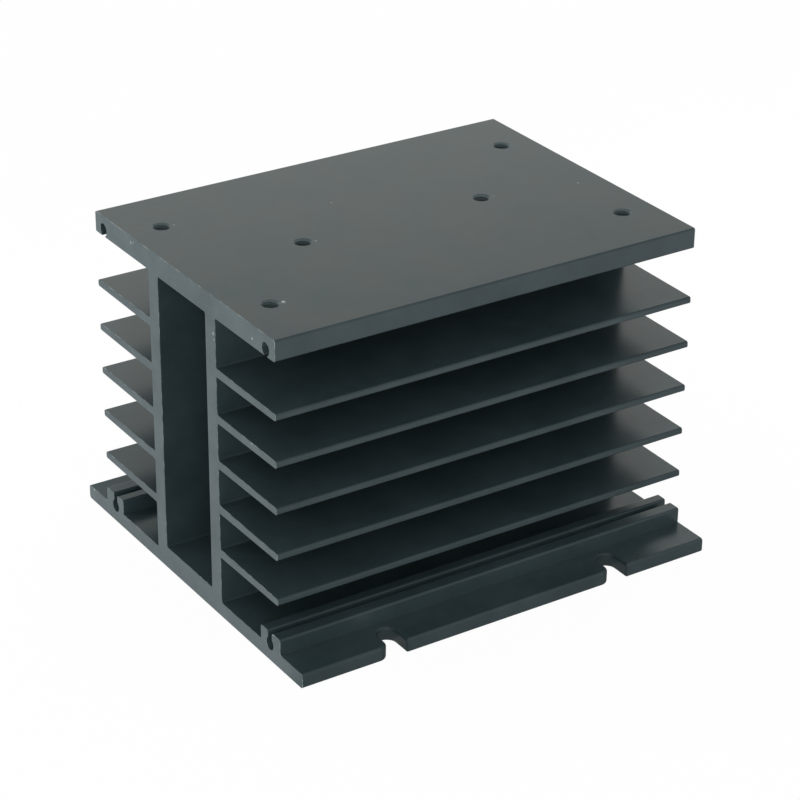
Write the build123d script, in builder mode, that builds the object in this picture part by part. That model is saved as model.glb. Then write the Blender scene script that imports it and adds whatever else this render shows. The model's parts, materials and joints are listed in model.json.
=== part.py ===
from build123d import *
import os

# Extruded heat sink for a relay: one aluminium profile, sawn to length and drilled. Sizes in mm.
# X runs along the extrusion, Y across it and Z up, from the middle of the flat underside.

# Overall sizes
length = 110.0  # sawn length
height = 79.4  # underside to relay face
relay_plate_width = 80.0
flange_reach = 10.0  # how far the base plate stands out past the relay plate, each side

# Plates and the square duct between them
relay_plate_thickness = 5.0
base_thickness = 3.6
duct_width = 21.3
duct_wall = 4.25
duct_ceiling = 5.2  # metal over the duct, where the relay's heat comes down
duct_floor = 5.5

# Fins, one pair at each level, tapered from the duct wall to the tip
fin_count = 5
fin_pitch = 11.25
fin_root = 2.05
fin_tip = 1.65

# Screw ports: round channels along the profile that take a fan's self-tapping corner screws
port_inset = 3.8  # channel centre from the relay plate's side
port_diameter = 3.05
plate_port_depth = 3.4  # channel centre below the relay face
plate_port_mouth = 1.4
base_port_height = 4.2  # channel centre above the underside
base_port_mouth = 1.65
boss_inside = 3.85  # from the channel's centre to the boss's side towards the duct
boss_outside = 4.35
boss_rise = 3.7  # height of the port's two ribs over the base plate

# Tapped holes for the relay: a rectangle of four for one size, a line of two for the other
wide_relay_pitch_x = 93.0
wide_relay_pitch_y = 48.0
narrow_relay_pitch_x = 48.0
tapping_diameter = 3.4
mouth_diameter = 4.4
mouth_angle = 90.0
drill_overrun = 1.0  # the drill passes this far beyond the metal

# Fixing slots, open to the flanges' edges
slot_pitch = 60.6
slot_width = 4.5
slot_depth = 7.0
slot_lead_round = 2.3  # seen from above, where a slot's side towards -X meets the flange's edge
slot_trail_round = 0.4  # and its side towards +X

# Die radii of the profile
flange_round = 0.7
plate_round = 0.5
boss_round = 0.55
lip_round = 0.12  # on the thin lips under the relay plate
duct_round = 0.5
wall_round = 0.4
fin_tip_round = 0.5
round_limit = 0.45  # a round takes at most this share of its plate's or fin's thickness

# Sizes that follow
base_width = relay_plate_width + 2 * flange_reach
plate_underside = height - relay_plate_thickness
cavity_middle = (base_thickness + plate_underside) / 2
duct_height = height - duct_floor - duct_ceiling
duct_half_outside = duct_width / 2 + duct_wall
plate_half_width = relay_plate_width / 2
port_offset = plate_half_width - port_inset
boss_height = base_thickness + boss_rise
boss_width = boss_inside + boss_outside
boss_offset = port_offset + (boss_outside - boss_inside) / 2
slack = 0.01  # how near a corner lies to the line it is picked by


def corners_beside(sketch, offset, low, high):
    """Corners of the section at this distance to either side of its middle, between two heights."""
    return sketch.vertices().filter_by(
        lambda corner: abs(abs(corner.X) - offset) < slack and low - slack < corner.Y < high + slack
    )


with BuildPart() as heat_sink:
    # The section is drawn looking along X, so the sketch's own X is the part's Y.
    with BuildSketch(Plane.YZ.offset(-length / 2)) as section:
        # Base plate and relay plate
        Rectangle(base_width, base_thickness, align=(Align.CENTER, Align.MIN))
        with Locations((0, height)):
            Rectangle(relay_plate_width, relay_plate_thickness, align=(Align.CENTER, Align.MAX))
        fillet(
            corners_beside(section, plate_half_width, plate_underside, height),
            min(plate_round, round_limit * relay_plate_thickness),
        )

        # Block around the duct, which carries the fins
        Rectangle(2 * duct_half_outside, height, align=(Align.CENTER, Align.MIN))

        # Fins, flush with the relay plate's sides
        with Locations((0, cavity_middle)):
            with GridLocations(0, fin_pitch, 1, fin_count):
                Polygon(
                    (-plate_half_width, -fin_tip / 2),
                    (-duct_half_outside, -fin_root / 2),
                    (duct_half_outside, -fin_root / 2),
                    (plate_half_width, -fin_tip / 2),
                    (plate_half_width, fin_tip / 2),
                    (duct_half_outside, fin_root / 2),
                    (-duct_half_outside, fin_root / 2),
                    (-plate_half_width, fin_tip / 2),
                    align=None,
                )
        fillet(corners_beside(section, duct_half_outside, base_thickness, plate_underside), wall_round)
        fin_reach = (fin_count - 1) * fin_pitch / 2 + fin_tip / 2
        fillet(
            corners_beside(
                section, plate_half_width, cavity_middle - fin_reach, cavity_middle + fin_reach
            ),
            min(fin_tip_round, round_limit * fin_tip),
        )

        # Duct
        with Locations((0, duct_floor + duct_height / 2)):
            RectangleRounded(duct_width, duct_height, duct_round, mode=Mode.SUBTRACT)

        # Screw ports on the base plate: a boss with a round channel that opens upwards
        with Locations((-boss_offset, 0), (boss_offset, 0)):
            Rectangle(boss_width, boss_height, align=(Align.CENTER, Align.MIN))
        with Locations((-port_offset, base_port_height), (port_offset, base_port_height)):
            Circle(port_diameter / 2, mode=Mode.SUBTRACT)
            Rectangle(
                base_port_mouth, boss_height, align=(Align.CENTER, Align.MIN), mode=Mode.SUBTRACT
            )

        # Screw ports under the relay plate: a round channel that opens downwards
        plate_port_height = height - plate_port_depth
        with Locations((-port_offset, plate_port_height), (port_offset, plate_port_height)):
            Circle(port_diameter / 2, mode=Mode.SUBTRACT)
            Rectangle(
                plate_port_mouth,
                relay_plate_thickness,
                align=(Align.CENTER, Align.MAX),
                mode=Mode.SUBTRACT,
            )

        # Rounds on the ports' lips
        for side in (-1, 1):
            boss_side = boss_offset + side * boss_width / 2
            fillet(corners_beside(section, boss_side, boss_height, boss_height), boss_round)
            boss_lip = port_offset + side * base_port_mouth / 2
            fillet(corners_beside(section, boss_lip, boss_height, boss_height), boss_round)
            plate_lip = port_offset + side * plate_port_mouth / 2
            fillet(corners_beside(section, plate_lip, plate_underside, plate_underside), lip_round)
    extrude(amount=length)

    # Tapped holes through the relay plate
    with Locations(Plane.XY.offset(height)):
        with GridLocations(wide_relay_pitch_x, wide_relay_pitch_y, 2, 2):
            CounterSinkHole(
                tapping_diameter / 2,
                mouth_diameter / 2,
                depth=relay_plate_thickness + drill_overrun,
                counter_sink_angle=mouth_angle,
            )
        with GridLocations(narrow_relay_pitch_x, 0, 2, 1):
            CounterSinkHole(
                tapping_diameter / 2,
                mouth_diameter / 2,
                depth=duct_ceiling + drill_overrun,
                counter_sink_angle=mouth_angle,
            )

    # Fixing slots milled in from the flanges' edges, with round inner ends
    with BuildSketch():
        with GridLocations(slot_pitch, base_width, 2, 2):
            SlotOverall(2 * slot_depth, slot_width, rotation=90)
    extrude(amount=base_thickness, mode=Mode.SUBTRACT)
    for side, mouth_round in ((-1, slot_lead_round), (1, slot_trail_round)):
        upright_edges = heat_sink.edges().filter_by(Axis.Z)
        slot_mouths = upright_edges.filter_by(
            lambda edge: abs(abs(edge.center().Y) - base_width / 2) < slack
            and abs(abs(edge.center().X - side * slot_width / 2) - slot_pitch / 2) < slack
        )
        fillet(slot_mouths, mouth_round)

    # The flanges' outer edges are rounded last, so that the round runs on into the slots
    flange_edges = heat_sink.edges().filter_by(Axis.X)
    flange_edges = flange_edges.filter_by(
        lambda edge: abs(abs(edge.center().Y) - base_width / 2) < slack
    )
    fillet(flange_edges, min(flange_round, round_limit * base_thickness))

heat_sink.part.label = "heat_sink"

os.makedirs("parts", exist_ok=True)
export_step(heat_sink.part, "parts/heat_sink.step")
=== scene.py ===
import json
import math
import random

import bmesh
import bpy
from mathutils import Matrix, Vector


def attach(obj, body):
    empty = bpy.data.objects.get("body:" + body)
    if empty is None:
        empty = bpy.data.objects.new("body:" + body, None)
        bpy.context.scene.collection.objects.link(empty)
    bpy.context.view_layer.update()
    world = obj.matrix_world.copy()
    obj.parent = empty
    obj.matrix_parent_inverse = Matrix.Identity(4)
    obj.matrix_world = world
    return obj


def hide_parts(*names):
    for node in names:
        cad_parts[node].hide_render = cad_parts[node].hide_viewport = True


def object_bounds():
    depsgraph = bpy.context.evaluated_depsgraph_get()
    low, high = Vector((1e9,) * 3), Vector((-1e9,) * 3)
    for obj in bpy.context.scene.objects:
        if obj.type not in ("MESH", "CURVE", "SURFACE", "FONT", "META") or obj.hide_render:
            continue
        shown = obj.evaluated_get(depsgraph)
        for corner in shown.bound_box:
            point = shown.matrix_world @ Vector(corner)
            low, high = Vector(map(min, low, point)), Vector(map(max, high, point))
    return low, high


# The looks of an extruded heat sink for a relay, and the studio round it.
# Sizes are in mm, and are multiplied by mm where Blender takes metres.

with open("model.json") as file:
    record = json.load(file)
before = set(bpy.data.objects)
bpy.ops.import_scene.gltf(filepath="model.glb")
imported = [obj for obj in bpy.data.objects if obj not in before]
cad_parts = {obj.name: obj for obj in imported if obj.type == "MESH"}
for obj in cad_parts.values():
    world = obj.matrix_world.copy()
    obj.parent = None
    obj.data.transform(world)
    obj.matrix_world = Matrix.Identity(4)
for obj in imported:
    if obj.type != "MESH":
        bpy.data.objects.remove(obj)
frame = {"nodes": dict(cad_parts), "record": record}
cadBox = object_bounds()
mm = 0.001
lowCorner, highCorner = (Vector(corner) / mm for corner in cadBox)
mounts = {mount["name"]: mount for mount in frame["record"]["mounts"]}
print("frame loaded")


# Materials

# a Mix node's colour sockets go by number, because its names find the ones for plain values first
firstColour, secondColour, mixedColour = 6, 7, 2


def hexColour(code):
    # sRGB hex to the linear values that the shader takes
    parts = [int(code[i:i + 2], 16) / 255 for i in (1, 3, 5)]
    return tuple(c / 12.92 if c <= 0.04045 else ((c + 0.055) / 1.055) ** 2.4 for c in parts) + (1.0,)


def setInputs(tree, node, inputs):
    # each input is given as a value or as the socket that feeds it
    for name, value in inputs.items():
        if isinstance(value, bpy.types.NodeSocket):
            tree.links.new(value, node.inputs[name])
        else:
            node.inputs[name].default_value = value


def addNode(tree, kind, inputs=None, **settings):
    # one node with its settings and what feeds it
    node = tree.nodes.new("ShaderNode" + kind)
    for name, value in settings.items():
        setattr(node, name, value)
    setInputs(tree, node, inputs or {})
    return node


def newMaterial(name):
    material = bpy.data.materials.new(name)
    material.use_nodes = True
    tree = material.node_tree
    return material, tree, tree.nodes["Principled BSDF"]


def patternPlace(tree, size, squeeze=(1, 1, 1)):
    # Object coordinates for a pattern with grains of this many mm; a small squeeze draws them out that way
    place = addNode(tree, "TexCoord").outputs["Object"]
    scale = [share / (size * mm) for share in squeeze]
    return addNode(tree, "Mapping", {"Vector": place, "Scale": scale}).outputs[0]


def patches(tree, under, over, size, turn, detail, roughness=0.5):
    # a second colour in patches this many mm wide, which come in between the two noise levels of turn
    place = patternPlace(tree, size)
    noise = addNode(tree, "TexNoise", {
        "Vector": place, "Scale": 1.0, "Detail": detail, "Roughness": roughness})
    share = addNode(tree, "MapRange", {"Value": noise.outputs[0], "From Min": turn[0], "From Max": turn[1]})
    mix = addNode(tree, "Mix", {"Factor": share.outputs[0], firstColour: under, secondColour: over},
                  data_type="RGBA")
    return mix.outputs[mixedColour]


oxide = {
    "ior": 1.38,             # matched to how little the faces mirror; a dense oxide has about 1.6
    "cloudSize": 14,         # mm across the faint clouds in the dye
    "cloudDetail": 5.0,
    "cloudRoughness": 0.65,
    "cloudTurn": (0.35, 0.65),
    "lineStrength": 0.5,     # how much of a tool's lines it leaves to see
}


def dyedOxide(name, skin):
    # the black oxide skin that every surface of the heat sink has: faint clouds in the dye
    material, tree, shader = newMaterial(name)
    tone = patches(tree, hexColour(skin["dye"]), hexColour(skin["thin"]), oxide["cloudSize"],
                   oxide["cloudTurn"], oxide["cloudDetail"], oxide["cloudRoughness"])
    setInputs(tree, shader, {"Base Color": tone, "Roughness": skin["roughness"], "IOR": oxide["ior"]})
    return material, tree, shader, tone


def toolLines(tree, shader, skin):
    # the fine lines that a tool leaves, in relief: noise drawn out along the way it went
    place = patternPlace(tree, skin["linePitch"], skin["lineSqueeze"])
    lines = addNode(tree, "TexNoise", {"Vector": place, "Scale": 1.0, "Detail": skin["lineDetail"]})
    relief = addNode(tree, "Bump", {
        "Height": lines.outputs[0], "Strength": oxide["lineStrength"], "Distance": skin["lineDepth"] * mm})
    setInputs(tree, shader, {"Normal": relief.outputs[0]})


dieSkin = {
    "dye": "#2c393c",        # black dye, blue-green where the light is low
    "thin": "#344145",       # where the oxide took less dye
    "roughness": 0.26,
    "linePitch": 0.45,       # mm between the die's lines, drawn coarser than the real 0.1
    "lineSqueeze": (0.004, 1, 1),   # they run on along the profile
    "lineDetail": 2.0,
    "lineDepth": 0.006,      # mm
}


def anodisedExtrusion():
    # aluminium as it left the die, black-anodised: satin, with faint straight lines along the profile
    material, tree, shader = dyedOxide("anodisedExtrusion", dieSkin)[:3]
    toolLines(tree, shader, dieSkin)
    return material


linishedSkin = {
    "dye": "#374446",
    "thin": "#414948",
    "roughness": 0.4,
    "linePitch": 0.25,       # mm between the belt's scratches, drawn coarser than the real 0.05
    "lineSqueeze": (0.02, 1, 1),
    "lineDetail": 3.0,
    "lineDepth": 0.004,      # mm
    "dustCell": 7.0,         # mm, the cell in which at most one grain of dust lies
    "dustSize": 0.16,        # mm
    "dustCore": 0.6,         # the share of a grain that has its full colour
    "dustShare": 0.3,        # of the cells that hold a grain
    "dust": "#8f9693",
}


def linishedPlate():
    # the relay's face, sanded flat along the profile and anodised: matt and even, with some grains of dust
    material, tree, shader, tone = dyedOxide("linishedPlate", linishedSkin)
    toolLines(tree, shader, linishedSkin)
    place = patternPlace(tree, linishedSkin["dustCell"])
    cells = addNode(tree, "TexVoronoi", {"Vector": place, "Scale": 1.0})
    size = linishedSkin["dustSize"] / linishedSkin["dustCell"]
    grain = addNode(tree, "MapRange", {
        "Value": cells.outputs["Distance"],
        "From Min": size, "From Max": size * linishedSkin["dustCore"]}).outputs[0]
    held = addNode(tree, "Math", {0: cells.outputs["Color"], 1: linishedSkin["dustShare"]},
                   operation="LESS_THAN").outputs[0]
    shown = addNode(tree, "Math", {0: grain, 1: held}, operation="MULTIPLY").outputs[0]
    dust = hexColour(linishedSkin["dust"])
    dusty = addNode(tree, "Mix", {"Factor": shown, firstColour: tone, secondColour: dust}, data_type="RGBA")
    setInputs(tree, shader, {"Base Color": dusty.outputs[mixedColour]})
    return material


sawnSkin = {
    "dye": "#3f4f53",
    "thin": "#526165",
    "roughness": 0.42,
    "linePitch": 0.5,        # mm between the saw's lines
    "lineSqueeze": (1, 0.03, 1),   # they run across the end
    "lineDetail": 3.0,
    "lineDepth": 0.012,      # mm
    "speckle": 0.35,         # mm, where the oxide took the dye unevenly
    "speckleDetail": 2.0,
    "speckleTurn": (0.5, 0.75),
}


def sawnEnd():
    # the sawn ends, black-anodised: greyer and rougher than the skin, finely speckled, with faint saw lines
    material, tree, shader, tone = dyedOxide("sawnEnd", sawnSkin)
    toolLines(tree, shader, sawnSkin)
    speckled = patches(tree, tone, hexColour(sawnSkin["thin"]), sawnSkin["speckle"],
                       sawnSkin["speckleTurn"], sawnSkin["speckleDetail"])
    setInputs(tree, shader, {"Base Color": speckled})
    return material


edgeHighlightAndWearSkin = {
    # the edges' dye is paler than the sawn end's: a painted highlight along the edges
    "dye": "#4f6063",
    "thin": "#657579",
    "roughness": 0.34,
    # the pale places are worn spots and painted highlight together
    "wearAndHighlight": "#a3adab",
    "wearAndHighlightSize": 2.5,         # mm along the edge from one pale place, wear and painted highlight together, to the next
    "wearAndHighlightDetail": 3.0,
    "wearAndHighlightTurn": (0.47, 0.6),
}


def edgeHighlightAndWear():
    # the sawn ends' edges, where the brush took the burr: smoother than the faces, painted paler as a
    # highlight, with pale places that are wear and painted highlight together
    material, tree, shader, tone = dyedOxide("edgeHighlightAndWear", edgeHighlightAndWearSkin)
    wearAndHighlight = patches(tree, tone, hexColour(edgeHighlightAndWearSkin["wearAndHighlight"]), edgeHighlightAndWearSkin["wearAndHighlightSize"], edgeHighlightAndWearSkin["wearAndHighlightTurn"],
                   edgeHighlightAndWearSkin["wearAndHighlightDetail"])
    setInputs(tree, shader, {"Base Color": wearAndHighlight})
    return material


cutShadedSkin = {
    # the dye is darker than the skin's: painted shade on the slot walls
    "dye": "#1f2d31",
    "thin": "#283639",
    "roughness": 0.5,
    "linePitch": 0.3,        # mm, the cutter's feed
    "lineSqueeze": (0.05, 0.05, 1),   # the lines run level round the cut
    "lineDetail": 1.0,
    "lineDepth": 0.008,      # mm
}


def milledCutPaintedShade():
    # the fixing slots, milled before the anodising: rough, with fine lines round the cut, and dyed dark as
    # painted shade on the slot walls
    material, tree, shader = dyedOxide("milledCutPaintedShade", cutShadedSkin)[:3]
    toolLines(tree, shader, cutShadedSkin)
    return material


tappedPaintedLightSkin = {
    # the dye is paler than the plate's: painted light in the shaded holes
    "dye": "#424e50",
    "thin": "#505c5d",
    "roughness": 0.32,
}


def tappedHolePaintedLight():
    # countersinks and threads: dyed paler than the plate as painted light, so that they show in their own
    # shade
    return dyedOxide("tappedHolePaintedLight", tappedPaintedLightSkin)[0]


bareMetal = {
    "colour": "#a9aeae",
    "grain": 0.12,           # mm
    "grainTurn": (0.3, 0.7),
    "roughness": (0.4, 0.6),     # from the grain's low places to its high ones
    "grainDepth": 0.01,      # mm
}


def bareAluminium():
    # the metal itself, bright where a knock broke the oxide
    material, tree, shader = newMaterial("bareAluminium")
    place = patternPlace(tree, bareMetal["grain"])
    grain = addNode(tree, "TexNoise", {"Vector": place, "Scale": 1.0}).outputs[0]
    start, end = bareMetal["grainTurn"]
    smooth, rough = bareMetal["roughness"]
    spread = addNode(tree, "MapRange", {
        "Value": grain, "From Min": start, "From Max": end, "To Min": smooth, "To Max": rough}).outputs[0]
    relief = addNode(tree, "Bump", {
        "Height": grain, "Strength": 1.0, "Distance": bareMetal["grainDepth"] * mm})
    setInputs(tree, shader, {"Base Color": hexColour(bareMetal["colour"]), "Metallic": 1.0,
                             "Roughness": spread, "Normal": relief.outputs[0]})
    return material


finishes = [anodisedExtrusion(), linishedPlate(), sawnEnd(), edgeHighlightAndWear(),
            milledCutPaintedShade(), tappedHolePaintedLight(), bareAluminium()]
finishNames = [material.name for material in finishes]
print("materials made")


# The heat sink

heatSink = {
    "edgeBreak": 0.11,       # mm brushed off each sawn edge; the screw ports' lips leave room for no more
    "sharpAngle": 32,        # degrees: a steeper edge than this is a sawn or milled one
    "flat": 0.02,            # mm, how near a face lies to the plane it belongs to
    "level": 0.99,           # a face looks up where this share of its normal does
    "upright": 0.9,          # and is a wall where less than this does
    "sameCorner": 0.002,     # mm, within which the frame's loose corners are one
    "sameFace": 0.1,         # degrees, within which its triangles are one face
    "mouthReach": 2.4,       # mm round a tapped hole's middle, past its mouth
    "slotPlace": 30.3,       # mm along X from the heat sink's middle to a slot's
    "slotReach": (-4.5, 2.6),   # mm from there along X, with the slot's rounded mouth
    "slotsFrom": 40,         # mm from the middle along Y, where the flanges start
    "flange": 3.6,           # mm thick
}

thread = {
    "pitch": 0.7,            # mm, an M4 screw's
    "coreRadius": 1.62,      # mm
    "rootRadius": 2.0,       # mm
    "flank": 0.22,           # mm of height that a flank takes
    "rootFlat": 0.09,        # mm
    "stepsPerTurn": 32,
    "sameCorner": 0.005,     # mm, within which one turn's corners are the next one's
    "lead": 1.1,             # turns wound below the metal, so that a whole one starts in it
    "runOut": 0.3,           # mm that the tap passes each face of the metal
    "metal": {"wide_relay_holes": 5.0, "narrow_relay_holes": 5.2},   # mm thick round each pattern's holes
}

knocks = {
    "seed": 11,
    "jitter": 0.2,           # how far a dent's outline strays from round
    "stretch": (0.8, 1.3),   # and how narrow and wide it may be
    "sink": 0.72,            # how far a dent's middle stands off the face, as a share of its radius
    # on the sawn end: across, height and radius in mm
    "endPlaces": [
        (22.7, 77.9, 0.6), (21.6, 78.3, 0.4), (32.6, 62.7, 0.45), (-14.1, 70.5, 0.5), (-14.4, 69.2, 0.35),
        (-30.8, 76.2, 0.45), (-39.9, 79.35, 0.55), (-29.8, 51.1, 0.5), (-37.7, 7.25, 0.5), (47.4, 3.3, 0.5),
        (25.6, 21.05, 0.35)],
    # on the relay face: along, across and radius in mm; four of them beside a tapped hole
    "topPlaces": [
        (48.3, -4.6, 0.4), (-7.0, 15.6, 0.4), (-43.7, -24.8, 0.75), (-43.8, 23.2, 0.6), (-21.2, -0.9, 0.5),
        (26.8, -0.9, 0.4)],
}


def holeCentres(mountName):
    # in mm: half a spacing to each side of the pattern's middle, along X and, with two rows, along Y
    mount = mounts[mountName]
    centres = [Vector(mount["pos_m"]) / mm]
    for spacing, direction in (("spacing_x_mm", Vector((1, 0, 0))), ("spacing_y_mm", Vector((0, 1, 0)))):
        if spacing in mount["dims"]:
            step = mount["dims"][spacing] / 2 * direction
            centres = [centre + side * step for centre in centres for side in (-1, 1)]
    return centres


tappedHoles = holeCentres("wide_relay_holes") + holeCentres("narrow_relay_holes")


def inTappedHole(place):
    deepest = highCorner.z - thread["metal"]["narrow_relay_holes"] - heatSink["flat"]
    return place.z > deepest and any(
        math.hypot(place.x - hole.x, place.y - hole.y) < heatSink["mouthReach"] for hole in tappedHoles)


def inSlot(place):
    start, end = heatSink["slotReach"]
    inFlange = (place.z < heatSink["flange"]
               and heatSink["slotsFrom"] < abs(place.y) < highCorner.y - heatSink["flat"])
    return inFlange and any(start < place.x - side * heatSink["slotPlace"] < end for side in (-1, 1))


def brushed(edge):
    # a sharp edge round a sawn end
    return (len(edge.link_faces) == 2 and edge.calc_face_angle() > math.radians(heatSink["sharpAngle"])
            and all(highCorner.x - abs(vertex.co.x / mm) < heatSink["flat"] for vertex in edge.verts))


def openEdges(shape):
    return sum(not edge.is_manifold for edge in shape.edges)


def closedCopy(node, name):
    # the frame's mesh is loose triangles, so a copy is merged and its flat faces are made whole,
    # before its sawn edges are broken
    shape = bmesh.new()
    shape.from_mesh(node.data)
    bmesh.ops.remove_doubles(shape, verts=shape.verts, dist=heatSink["sameCorner"] * mm)
    bmesh.ops.dissolve_limit(shape, angle_limit=math.radians(heatSink["sameFace"]),
                             verts=shape.verts, edges=shape.edges)
    sharp = [edge for edge in shape.edges if brushed(edge)]
    bmesh.ops.bevel(shape, geom=sharp, offset=heatSink["edgeBreak"] * mm, affect="EDGES", segments=2,
                    profile=0.5, material=-1, clamp_overlap=False, loop_slide=True)
    print("body faces", len(shape.faces), "broken edges", len(sharp), "open", openEdges(shape))
    return asObject(shape, name)


def asObject(shape, name):
    mesh = bpy.data.meshes.new(name)
    shape.to_mesh(mesh)
    shape.free()
    piece = bpy.data.objects.new(name, mesh)
    bpy.context.scene.collection.objects.link(piece)
    for material in finishes:
        mesh.materials.append(material)
    return piece


def paintFaces(piece):
    # each face gets the finish of the cut that made it, and the rest keep the first one, the skin's
    sawn, edge, plate, cut, tapped = (finishNames.index(name) for name in (
        "sawnEnd", "edgeHighlightAndWear", "linishedPlate", "milledCutPaintedShade", "tappedHolePaintedLight"))
    for face in piece.data.polygons:
        middle = face.center / mm
        fromEnd = min(middle.x - lowCorner.x, highCorner.x - middle.x)
        if fromEnd < heatSink["flat"]:
            face.material_index = sawn
        # the broken sawn edges take the paler finish: painted highlight, with wear
        elif fromEnd < heatSink["edgeBreak"] + heatSink["flat"]:
            face.material_index = edge
        elif highCorner.z - middle.z < heatSink["flat"] and face.normal.z > heatSink["level"]:
            face.material_index = plate
        # the tapped holes take the paler finish, which is painted light
        elif inTappedHole(middle):
            face.material_index = tapped
        # the slots' walls take the darker finish, which is painted shade
        elif inSlot(middle) and abs(face.normal.z) < heatSink["upright"]:
            face.material_index = cut


def threadCore(hole, metal):
    # a core with one thread wound round it, closed, from below the metal to above the face
    pitch = thread["pitch"]
    bottom, top = highCorner.z - metal - thread["runOut"], highCorner.z + thread["runOut"]
    start = bottom - thread["lead"] * pitch
    turns = math.ceil((top - start) / pitch)
    rise = pitch - 2 * thread["flank"] - thread["rootFlat"]
    outline = [
        (thread["coreRadius"], 0),
        (thread["coreRadius"], rise),
        (thread["rootRadius"], rise + thread["flank"]),
        (thread["rootRadius"], pitch - thread["flank"]),
        (thread["coreRadius"], pitch),
    ]
    shape = bmesh.new()
    corners = [shape.verts.new(((hole.x + radius) * mm, hole.y * mm, (start + height) * mm))
               for radius, height in outline]
    edges = [shape.edges.new(pair) for pair in zip(corners, corners[1:])]
    bmesh.ops.spin(shape, geom=corners + edges, cent=(hole.x * mm, hole.y * mm, 0), axis=(0, 0, 1),
                   dvec=(0, 0, pitch * mm / thread["stepsPerTurn"]), angle=turns * 2 * math.pi,
                   steps=turns * thread["stepsPerTurn"])
    bmesh.ops.remove_doubles(shape, verts=shape.verts, dist=thread["sameCorner"] * mm)
    for level, side in ((bottom, -1), (top, 1)):
        bmesh.ops.bisect_plane(shape, geom=shape.verts[:] + shape.edges[:] + shape.faces[:],
                               plane_co=(0, 0, level * mm), plane_no=(0, 0, side), clear_outer=True)
    bmesh.ops.holes_fill(shape, edges=[edge for edge in shape.edges if edge.is_boundary])
    bmesh.ops.recalc_face_normals(shape, faces=shape.faces)
    # the thread takes the same paler finish, painted light
    for face in shape.faces:
        face.material_index = finishNames.index("tappedHolePaintedLight")
    return shape


def dent(place, radius, chance):
    # a rough lump the size of one knock
    shape = bmesh.new()
    bmesh.ops.create_icosphere(shape, subdivisions=2, radius=radius * mm)
    stretch = Vector((1, chance.uniform(*knocks["stretch"]), chance.uniform(*knocks["stretch"])))
    for vertex in shape.verts:
        swell = 1 + chance.uniform(-1, 1) * knocks["jitter"]
        vertex.co = vertex.co * stretch * swell + Vector(place) * mm
    for face in shape.faces:
        face.material_index = finishNames.index("bareAluminium")
    return shape


def allCutters():
    # threads and dents joined in one shape, as none of them touch
    joined = bmesh.new()
    shapes = [threadCore(hole, metal) for mountName, metal in thread["metal"].items()
              for hole in holeCentres(mountName)]
    chance = random.Random(knocks["seed"])
    for y, z, radius in knocks["endPlaces"]:
        shapes.append(dent((lowCorner.x - knocks["sink"] * radius, y, z), radius, chance))
    for x, y, radius in knocks["topPlaces"]:
        shapes.append(dent((x, y, highCorner.z + knocks["sink"] * radius), radius, chance))
    for shape in shapes:
        mesh = bpy.data.meshes.new("cutter")
        shape.to_mesh(mesh)
        shape.free()
        joined.from_mesh(mesh)
        bpy.data.meshes.remove(mesh)
    print("cutter faces", len(joined.faces), "open", openEdges(joined))
    return asObject(joined, "cutters")


def cutAway(piece, cutter):
    # takes the cutter's shape out of the piece; the new faces keep the cutter's finishes
    cut = piece.modifiers.new("cut", "BOOLEAN")
    cut.object = cutter
    cut.operation = "DIFFERENCE"
    cut.solver = "EXACT"
    cut.material_mode = "INDEX"
    whole = bpy.data.meshes.new_from_object(piece.evaluated_get(bpy.context.evaluated_depsgraph_get()))
    piece.modifiers.clear()
    piece.data = whole
    bpy.data.objects.remove(cutter)


def shadeByAngle(piece):
    # smooth over the small angles, sharp at the rest, and flat faces kept flat
    shape = bmesh.new()
    shape.from_mesh(piece.data)
    sharpAngle = math.radians(heatSink["sharpAngle"])
    for face in shape.faces:
        face.smooth = True
    for edge in shape.edges:
        edge.smooth = len(edge.link_faces) == 2 and edge.calc_face_angle() < sharpAngle
    print("cut faces", len(shape.faces), "open", openEdges(shape))
    shape.to_mesh(piece.data)
    shape.free()
    normals = piece.modifiers.new("flatFaces", "WEIGHTED_NORMAL")
    normals.keep_sharp = True


body = closedCopy(frame["nodes"]["heat_sink"], "heatSinkBody")
paintFaces(body)
cutAway(body, allCutters())
shadeByAngle(body)
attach(body, "root")
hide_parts("heat_sink")
print("heat sink dressed")


# Floor, light and camera

paper = {
    "size": 6.0,             # metres
    "drop": 0.05,            # mm under the heat sink
    "colour": "#f4f4f4",
    "roughness": 0.9,
    "white": 0.97,           # how much of it is drawn pure white; the rest takes the shadow
    # in front of the heat sink it is in the shade, which the fin tips and lower edges mirror:
    # where that starts, is deepest and ends, in mm along Y, and the share of the white that is lost
    "shadeFar": -165,
    "shadeNear": -50,
    "shadeEnd": -42,
    "shadeDepth": 0.68,
}

walls = {
    "strength": 0.76,        # as they light the heat sink
    "glossFront": 0.55,      # as it mirrors the ones in front
    "glossBehind": 0.42,
    "glossTurn": (-0.1, 0.45),   # between these two they darken, by the direction's share along Y
}

# soft lamps: place, aim, width and height in metres, power in watts
lamps = {
    "lampBehind": {"place": (-0.01, 0.15, 0.13), "aim": (-0.02, 0, 0.04), "width": 0.8, "height": 0.1,
                   "power": 0.19, "colour": "#fafff8"},
    "fillInFront": {"place": (-0.65, -0.88, 0.5), "aim": (0, 0, 0.04), "width": 0.6, "height": 0.6,
                    "power": 4.0, "colour": "#fffffc"},
}


def anyRay(tree, *kinds):
    # 1 for a ray of one of these kinds, and 0 for the others
    rays = addNode(tree, "LightPath")
    found = rays.outputs[kinds[0]]
    for kind in kinds[1:]:
        found = addNode(tree, "Math", {0: found, 1: rays.outputs[kind]}, operation="MAXIMUM").outputs[0]
    return found


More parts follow.
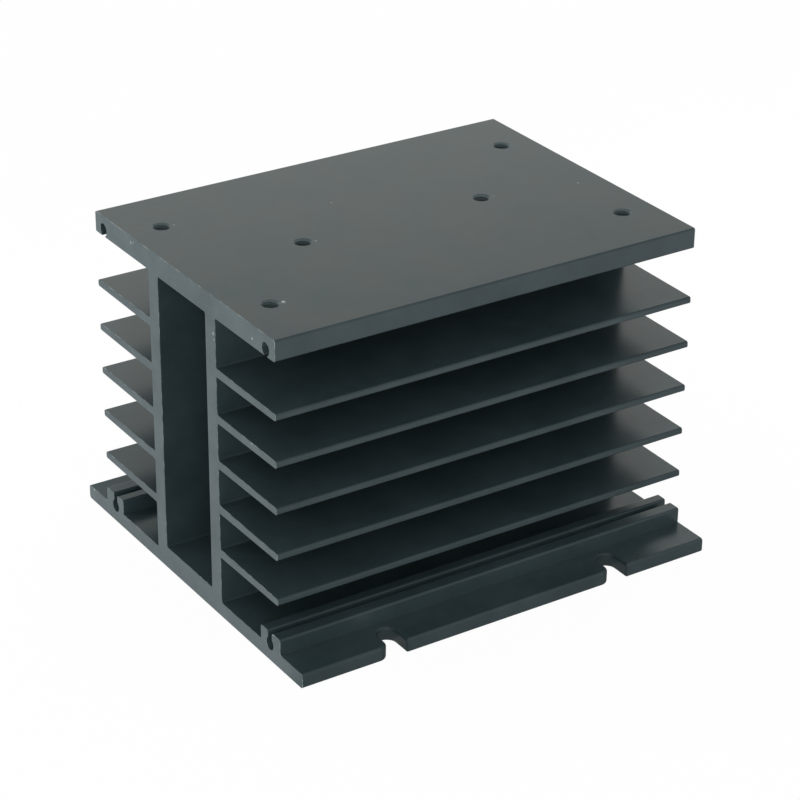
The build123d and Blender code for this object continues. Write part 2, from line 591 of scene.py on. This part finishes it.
def mirroredShade(tree):
    # the share of its white that the paper keeps where the heat sink mirrors it
    place = addNode(tree, "TexCoord").outputs["Object"]
    along = addNode(tree, "SeparateXYZ", {"Vector": place}).outputs["Y"]
    deeper = addNode(tree, "MapRange", {
        "Value": along, "From Min": paper["shadeFar"] * mm, "From Max": paper["shadeNear"] * mm,
        "To Max": paper["shadeDepth"]}).outputs[0]
    ended = addNode(tree, "MapRange", {
        "Value": along, "From Min": paper["shadeNear"] * mm, "From Max": paper["shadeEnd"] * mm,
        "To Min": 1.0, "To Max": 0.0}).outputs[0]
    mirrored = anyRay(tree, "Is Glossy Ray")
    near = addNode(tree, "Math", {0: mirrored, 1: ended}, operation="MULTIPLY").outputs[0]
    lost = addNode(tree, "Math", {0: deeper, 1: near}, operation="MULTIPLY").outputs[0]
    return addNode(tree, "Math", {0: 1.0, 1: lost}, operation="SUBTRACT").outputs[0]


def makeFloor():
    # pale paper that the eye, a mirror and glass see as white, and that still takes the object's shadow
    shape = bmesh.new()
    bmesh.ops.create_grid(shape, x_segments=1, y_segments=1, size=paper["size"] / 2)
    mesh = bpy.data.meshes.new("floor")
    shape.to_mesh(mesh)
    shape.free()
    floor = bpy.data.objects.new("floor", mesh)
    floor.location.z = -paper["drop"] * mm
    bpy.context.scene.collection.objects.link(floor)
    material, tree, shader = newMaterial("palePaper")
    setInputs(tree, shader, {"Base Color": hexColour(paper["colour"]), "Roughness": paper["roughness"]})
    glow = addNode(tree, "Emission", {"Color": (1, 1, 1, 1), "Strength": mirroredShade(tree)}).outputs[0]
    seen = anyRay(tree, "Is Camera Ray", "Is Glossy Ray", "Is Transmission Ray")
    share = addNode(tree, "Math", {0: seen, 1: paper["white"]}, operation="MULTIPLY").outputs[0]
    mix = addNode(tree, "MixShader", {0: share, 1: shader.outputs[0], 2: glow}).outputs[0]
    setInputs(tree, tree.nodes["Material Output"], {"Surface": mix})
    mesh.materials.append(material)


def makeWorld():
    # white walls for the camera, and softer ones as light and in the mirrored light
    world = bpy.data.worlds.new("studio")
    bpy.context.scene.world = world
    world.use_nodes = True
    tree = world.node_tree
    direction = addNode(tree, "TexCoord").outputs["Generated"]
    along = addNode(tree, "SeparateXYZ", {"Vector": direction}).outputs["Y"]
    start, end = walls["glossTurn"]
    gloss = addNode(tree, "MapRange", {
        "Value": along, "From Min": start, "From Max": end,
        "To Min": walls["glossFront"], "To Max": walls["glossBehind"]}).outputs[0]
    mirrored = anyRay(tree, "Is Glossy Ray")
    level = addNode(tree, "Mix", {"Factor": mirrored, "A": walls["strength"], "B": gloss},
                    data_type="FLOAT").outputs[0]
    seen = anyRay(tree, "Is Camera Ray", "Is Transmission Ray")
    level = addNode(tree, "Mix", {"Factor": seen, "A": level, "B": 1.0}, data_type="FLOAT").outputs[0]
    setInputs(tree, tree.nodes["Background"], {"Color": (1, 1, 1, 1), "Strength": level})


def makeLamp(name, place, aim, width, height, power, colour):
    # the lamps are seen in reflections only, never by the camera itself
    data = bpy.data.lights.new(name, "AREA")
    data.shape = "RECTANGLE"
    data.size = width
    data.size_y = height
    data.energy = power
    data.color = hexColour(colour)[:3]
    lamp = bpy.data.objects.new(name, data)
    lamp.location = place
    lamp.rotation_euler = (Vector(aim) - lamp.location).to_track_quat("-Z", "Y").to_euler()
    lamp.visible_camera = False
    bpy.context.scene.collection.objects.link(lamp)


view = {
    "azimuth": -33.271,      # degrees round from the long side's front
    "elevation": 27.203,
    "roll": 0.595,
    "distance": 0.6075,      # metres from the target
    "target": (-0.00629, -0.01293, 0.04079),
    "sensor": 36.0,          # mm
    "lens": 119.904,         # mm
    "farthest": 20.0,        # metres
}


def makeCamera():
    data = bpy.data.cameras.new("camera")
    data.sensor_width = view["sensor"]
    data.lens = view["lens"]
    data.clip_end = view["farthest"]
    camera = bpy.data.objects.new("camera", data)
    turn, rise = math.radians(view["azimuth"]), math.radians(view["elevation"])
    back = Vector((math.sin(turn) * math.cos(rise), -math.cos(turn) * math.cos(rise), math.sin(rise)))
    right = Vector((0, 0, 1)).cross(back).normalized()
    up = back.cross(right)
    axes = Matrix((right, up, back)).transposed() @ Matrix.Rotation(math.radians(view["roll"]), 3, "Z")
    place = Vector(view["target"]) + view["distance"] * back
    camera.matrix_world = Matrix.Translation(place) @ axes.to_4x4()
    bpy.context.scene.collection.objects.link(camera)
    bpy.context.scene.camera = camera


makeFloor()
makeWorld()
for lampName, settings in lamps.items():
    makeLamp(lampName, **settings)
makeCamera()
bpy.context.scene.view_settings.view_transform = "Standard"
print("studio ready")
